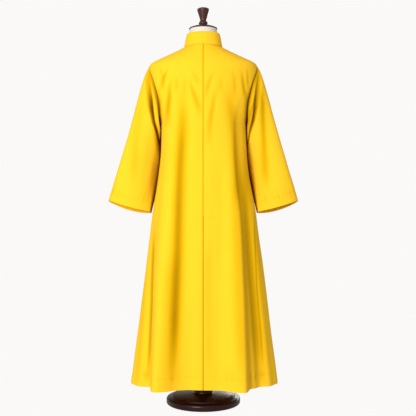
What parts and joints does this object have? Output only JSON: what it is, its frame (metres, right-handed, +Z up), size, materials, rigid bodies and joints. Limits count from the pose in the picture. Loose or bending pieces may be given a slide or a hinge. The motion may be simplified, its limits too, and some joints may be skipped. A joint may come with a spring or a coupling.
{
  "type": "cassock on a dress form",
  "caption": "Long plain cassock with wide sleeves, stand collar and buttoned front, on a limbless dress form with turned wooden base and neck knob.",
  "frame": {"origin": "centre of the base's underside, on the floor under the pole", "axes": "+Z up; the garment's front faces -Y and its back +Y; +X is the wearer's left"},
  "size_m": [0.8182, 0.3701, 1.698],
  "materials": {
    "cloth": "plain woven yellow suiting, matt with a faint sheen",
    "buttons": "domed buttons in the cloth's colour",
    "form_linen": "tightly stretched off-white linen",
    "dark_wood": "dark polished mahogany"
  },
  "bodies": {
    "root": {"back_left": "cloth", "back_right": "cloth", "front_left": "cloth", "front_right": "cloth", "sleeve_left": "cloth", "sleeve_right": "cloth", "collar": "cloth", "button_01": "buttons", "button_02": "buttons", "button_03": "buttons", "button_04": "buttons", "button_05": "buttons", "button_06": "buttons", "button_07": "buttons", "button_08": "buttons", "button_09": "buttons", "button_10": "buttons", "button_11": "buttons", "button_12": "buttons", "form_body": "form_linen", "form_base": "dark_wood", "form_pole": "dark_wood", "form_cap": "dark_wood", "form_knob": "dark_wood"}
  },
  "joints": []
}
